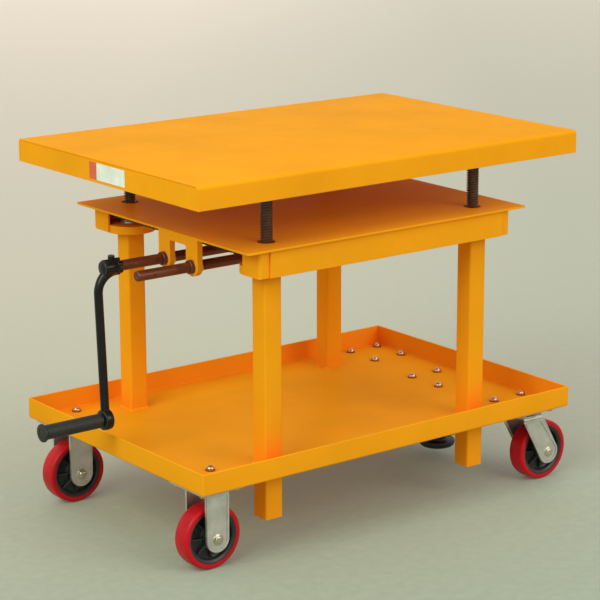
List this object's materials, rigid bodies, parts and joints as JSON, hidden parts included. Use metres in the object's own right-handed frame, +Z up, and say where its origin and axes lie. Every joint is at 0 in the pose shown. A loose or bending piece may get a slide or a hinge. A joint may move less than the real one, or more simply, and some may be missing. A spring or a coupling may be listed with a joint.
{
  "type": "hand-crank screw lift table",
  "caption": "Mobile four-post screw lift table with a skirted platform, lower tray, two-speed hand crank and casters.",
  "frame": {"origin": "on the floor, under the middle of the whole machine, crank and casters included", "axes": "+X along the table away from the crank, +Y across the table towards the rear side, +Z up"},
  "size_m": [1.1196, 0.61, 0.737],
  "materials": {
    "orange_paint": "powder coat, semi-gloss",
    "oiled_steel": "oiled black steel",
    "brown_steel": "brown, satin",
    "zinc_steel": "zinc plated",
    "black_paint": "black, satin",
    "black_plastic": "moulded, ribbed",
    "red_polyurethane": "cast polyurethane, semi-gloss",
    "black_rubber": "matte",
    "sintered_bronze": "oil-filled sintered bronze",
    "white_label": "blank label"
  },
  "bodies": {
    "frame": {"tray": "orange_paint", "posts": "orange_paint", "deck_plate": "orange_paint", "side_rails": "orange_paint", "corner_guards": "orange_paint", "bearing_plates": "orange_paint", "thrust_bearings": "zinc_steel", "end_bracket": "orange_paint", "inner_brackets": "orange_paint", "shaft_bushings": "sintered_bronze", "main_chain": "oiled_steel", "speed_chain": "oiled_steel", "sprocket_pins": "zinc_steel", "rigid_forks": "zinc_steel", "rigid_axles": "zinc_steel", "swivel_plates": "zinc_steel", "tray_bolts": "zinc_steel", "lock_housing": "black_paint"},
    "nut_front_left": {"nut_front_left": "oiled_steel"},
    "nut_front_right": {"nut_front_right": "oiled_steel"},
    "nut_rear_left": {"nut_rear_left": "oiled_steel"},
    "nut_rear_right": {"nut_rear_right": "oiled_steel"},
    "drive_hub": {"drive_sprocket": "oiled_steel", "drive_bevel": "oiled_steel"},
    "idler_front": {"idler_front": "oiled_steel"},
    "idler_rear": {"idler_rear": "oiled_steel"},
    "fast_shaft": {"fast_shaft": "brown_steel", "fast_fittings": "brown_steel", "bevel_pinion": "oiled_steel", "fast_sprocket": "oiled_steel"},
    "slow_shaft": {"slow_shaft": "brown_steel", "slow_fittings": "brown_steel", "slow_sprocket": "oiled_steel"},
    "crank": {"crank_arm": "black_paint", "crank_pin": "zinc_steel"},
    "crank_grip": {"crank_grip": "black_plastic", "grip_cap": "black_plastic"},
    "lift": {"platform": "orange_paint", "platform_stiffeners": "orange_paint", "screw_flanges": "oiled_steel", "screw_front_left": "oiled_steel", "screw_front_right": "oiled_steel", "screw_rear_left": "oiled_steel", "screw_rear_right": "oiled_steel", "screw_guides": "black_plastic", "blank_label": "white_label"},
    "swivel_front": {"swivel_fork_front": "zinc_steel", "swivel_axle_front": "zinc_steel"},
    "swivel_rear": {"swivel_fork_rear": "zinc_steel", "swivel_axle_rear": "zinc_steel"},
    "wheel_front_left": {"tread_front_left": "red_polyurethane", "core_front_left": "black_plastic"},
    "wheel_front_right": {"tread_front_right": "red_polyurethane", "core_front_right": "black_plastic"},
    "wheel_rear_left": {"tread_rear_left": "red_polyurethane", "core_rear_left": "black_plastic"},
    "wheel_rear_right": {"tread_rear_right": "red_polyurethane", "core_rear_right": "black_plastic"},
    "lock_pedal": {"lock_pedal": "black_paint"},
    "lock_foot": {"lock_foot": "black_rubber"}
  },
  "joints": [
    {"name": "crank_turn", "type": "hinge", "parent": "frame", "child": "fast_shaft", "pos_m": [-0.24075, -0.02, 0.54], "axis": [1, 0, 0], "range_deg": [-5760, 23040]},
    {"name": "slow_shaft_turn", "type": "hinge", "parent": "frame", "child": "slow_shaft", "pos_m": [-0.24075, -0.11024, 0.54], "axis": [1, 0, 0], "range_deg": [-11540, 46100]},
    {"name": "drive_hub_turn", "type": "hinge", "parent": "frame", "child": "drive_hub", "pos_m": [-0.00563, -0.02, 0.579], "axis": [0, 0, 1], "range_deg": [-5780, 23060]},
    {"name": "idler_front_turn", "type": "hinge", "parent": "frame", "child": "idler_front", "pos_m": [-0.20528, -0.0811, 0.579], "axis": [0, 0, 1], "range_deg": [-34580, 8660]},
    {"name": "idler_rear_turn", "type": "hinge", "parent": "frame", "child": "idler_rear", "pos_m": [-0.20528, 0.0411, 0.579], "axis": [0, 0, 1], "range_deg": [-34580, 8660]},
    {"name": "nut_front_left_turn", "type": "hinge", "parent": "frame", "child": "nut_front_left", "pos_m": [-0.19325, -0.2275, 0.579], "axis": [0, 0, 1], "range_deg": [-23060, 5780]},
    {"name": "nut_front_right_turn", "type": "hinge", "parent": "frame", "child": "nut_front_right", "pos_m": [0.31175, -0.2275, 0.579], "axis": [0, 0, 1], "range_deg": [-23060, 5780]},
    {"name": "nut_rear_left_turn", "type": "hinge", "parent": "frame", "child": "nut_rear_left", "pos_m": [-0.19325, 0.2275, 0.579], "axis": [0, 0, 1], "range_deg": [-23060, 5780]},
    {"name": "nut_rear_right_turn", "type": "hinge", "parent": "frame", "child": "nut_rear_right", "pos_m": [0.31175, 0.2275, 0.579], "axis": [0, 0, 1], "range_deg": [-23060, 5780]},
    {"name": "platform_lift", "type": "slide", "parent": "frame", "child": "lift", "axis": [0, 0, 1], "range_m": [-0.0805, 0.3205]},
    {"name": "crank_pull_off", "type": "slide", "parent": "fast_shaft", "child": "crank", "axis": [-1, 0, 0], "range_m": [0, 0.045]},
    {"name": "grip_spin", "type": "hinge", "parent": "crank", "child": "crank_grip", "pos_m": [-0.50075, -0.02, 0.248], "axis": [1, 0, 0], "continuous": true},
    {"name": "swivel_front_turn", "type": "hinge", "parent": "frame", "child": "swivel_front", "pos_m": [0.45025, -0.235, 0.15], "axis": [0, 0, 1], "continuous": true},
    {"name": "swivel_rear_turn", "type": "hinge", "parent": "frame", "child": "swivel_rear", "pos_m": [0.45025, 0.235, 0.15], "axis": [0, 0, 1], "continuous": true},
    {"name": "wheel_front_left_roll", "type": "hinge", "parent": "frame", "child": "wheel_front_left", "pos_m": [-0.33875, -0.235, 0.0625], "axis": [0, 1, 0], "continuous": true},
    {"name": "wheel_front_right_roll", "type": "hinge", "parent": "swivel_front", "child": "wheel_front_right", "pos_m": [0.49725, -0.235, 0.0625], "axis": [0, 1, 0], "continuous": true},
    {"name": "wheel_rear_left_roll", "type": "hinge", "parent": "frame", "child": "wheel_rear_left", "pos_m": [-0.33875, 0.235, 0.0625], "axis": [0, 1, 0], "continuous": true},
    {"name": "wheel_rear_right_roll", "type": "hinge", "parent": "swivel_rear", "child": "wheel_rear_right", "pos_m": [0.49725, 0.235, 0.0625], "axis": [0, 1, 0], "continuous": true},
    {"name": "lock_pedal_press", "type": "hinge", "parent": "frame", "child": "lock_pedal", "pos_m": [0.38725, 0, 0.132], "axis": [0, 1, 0], "range_deg": [0, 30]},
    {"name": "lock_foot_drop", "type": "slide", "parent": "frame", "child": "lock_foot", "axis": [0, 0, -1], "range_m": [0, 0.0225]}
  ],
  "couplings": [
    {"joint": "slow_shaft_turn", "follows": "crank_turn", "ratio": 2},
    {"joint": "drive_hub_turn", "follows": "crank_turn", "ratio": 1},
    {"joint": "idler_front_turn", "follows": "crank_turn", "ratio": -1.5},
    {"joint": "idler_rear_turn", "follows": "crank_turn", "ratio": -1.5},
    {"joint": "nut_front_left_turn", "follows": "crank_turn", "ratio": -1},
    {"joint": "nut_front_right_turn", "follows": "crank_turn", "ratio": -1},
    {"joint": "nut_rear_left_turn", "follows": "crank_turn", "ratio": -1},
    {"joint": "nut_rear_right_turn", "follows": "crank_turn", "ratio": -1},
    {"joint": "platform_lift", "follows": "crank_turn", "m_per_rad": 0.00079577},
    {"joint": "lock_foot_drop", "follows": "lock_pedal_press", "m_per_rad": 0.042017}
  ]
}
